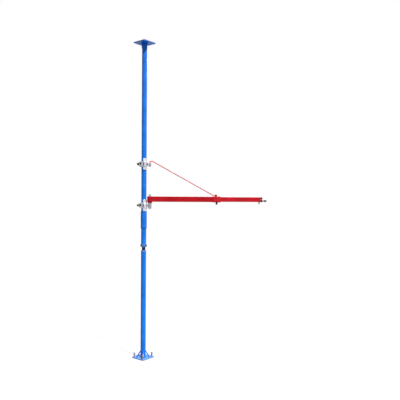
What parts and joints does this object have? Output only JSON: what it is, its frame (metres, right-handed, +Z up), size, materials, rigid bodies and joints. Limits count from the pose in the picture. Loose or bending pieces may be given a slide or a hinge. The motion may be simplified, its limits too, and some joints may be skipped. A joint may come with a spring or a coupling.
{
  "type": "hoist mounting post",
  "caption": "Jack post braced between floor and ceiling, with a telescopic square jib arm that swings on two clamps under a tie strut, for hanging a small electric hoist.",
  "frame": {"origin": "middle of the base plate's underside, on the post's axis", "axes": "+Z up along the post, +X along the arm at rest, +Y away from the viewer of the picture"},
  "size_m": [1.2737, 0.2054, 2.95],
  "materials": {
    "blue_paint": "gloss blue paint on steel tube and plate",
    "red_paint": "gloss red paint on square tube",
    "zinc_steel": "bright zinc plate on forged and turned steel",
    "dark_steel": "black oxide on bolts and nuts",
    "spindle_steel": "oiled rolled thread",
    "rubber": "matte black rubber",
    "bronze": "plain bronze bush"
  },
  "bodies": {
    "lower_post": {"base_plate": "blue_paint", "base_braces": "blue_paint", "anchor_studs": "zinc_steel", "anchor_sleeves": "zinc_steel", "anchor_nuts": "zinc_steel", "anchor_washers": "zinc_steel", "lower_tube": "blue_paint", "spindle_plug": "blue_paint", "spindle": "spindle_steel"},
    "upper_post": {"mid_tube": "blue_paint", "coupling_sleeve": "blue_paint", "upper_tube": "blue_paint", "top_collar": "blue_paint", "top_plate": "blue_paint"},
    "jack_nut": {"jack_nut": "zinc_steel"},
    "jib": {"lower_clamp_jib_half": "zinc_steel", "lower_clamp_back_half": "zinc_steel", "lower_clamp_bolts": "dark_steel", "lower_clamp_nuts": "dark_steel", "lower_clamp_washers": "zinc_steel", "upper_clamp_jib_half": "zinc_steel", "upper_clamp_back_half": "zinc_steel", "upper_clamp_bolts": "dark_steel", "upper_clamp_nuts": "dark_steel", "upper_clamp_washers": "zinc_steel", "pivot_bush": "bronze", "strut_bush": "bronze"},
    "arm": {"arm_outer_tube": "red_paint", "arm_pivot_tube": "red_paint", "arm_pivot_pad": "red_paint", "pivot_pin": "zinc_steel", "pivot_nut": "zinc_steel", "pivot_top_washer": "zinc_steel", "pivot_bottom_washer": "zinc_steel", "pivot_split_pin": "zinc_steel", "arm_collar": "red_paint", "lock_weld_nut": "dark_steel", "strut_lugs": "red_paint", "strut_rod": "red_paint", "strut_bolt": "dark_steel", "strut_nut": "dark_steel", "strut_washer": "zinc_steel", "strut_split_pin": "zinc_steel"},
    "lock_bolt": {"lock_bolt": "dark_steel"},
    "arm_inner": {"arm_inner_tube": "red_paint", "arm_end_plate": "red_paint", "end_buffer": "rubber", "tip_stud": "dark_steel", "tip_stud_nuts": "dark_steel", "stop_bolt": "zinc_steel", "stop_nut": "zinc_steel"}
  },
  "joints": [
    {"name": "post_jack", "type": "slide", "parent": "lower_post", "child": "upper_post", "axis": [0, 0, 1], "range_m": [-0.03, 0.1]},
    {"name": "jack_turn", "type": "hinge", "parent": "upper_post", "child": "jack_nut", "pos_m": [0, 0, 1.049], "axis": [0, 0, 1], "range_deg": [-1355, 4505]},
    {"name": "jib_height", "type": "slide", "parent": "upper_post", "child": "jib", "axis": [0, 0, 1], "range_m": [0, 1]},
    {"name": "arm_swivel", "type": "hinge", "parent": "jib", "child": "arm", "pos_m": [0.056, 0, 1.483], "axis": [0, 0, 1], "range_deg": [-100, 100]},
    {"name": "arm_extension", "type": "slide", "parent": "arm", "child": "arm_inner", "axis": [1, 0, 0], "range_m": [-0.35, 0]},
    {"name": "lock_turn", "type": "hinge", "parent": "arm", "child": "lock_bolt", "pos_m": [0.687, 0, 1.44], "axis": [0, 0, 1], "continuous": true}
  ],
  "couplings": [
    {"joint": "jack_turn", "follows": "post_jack", "rad_per_m": 785.4}
  ]
}
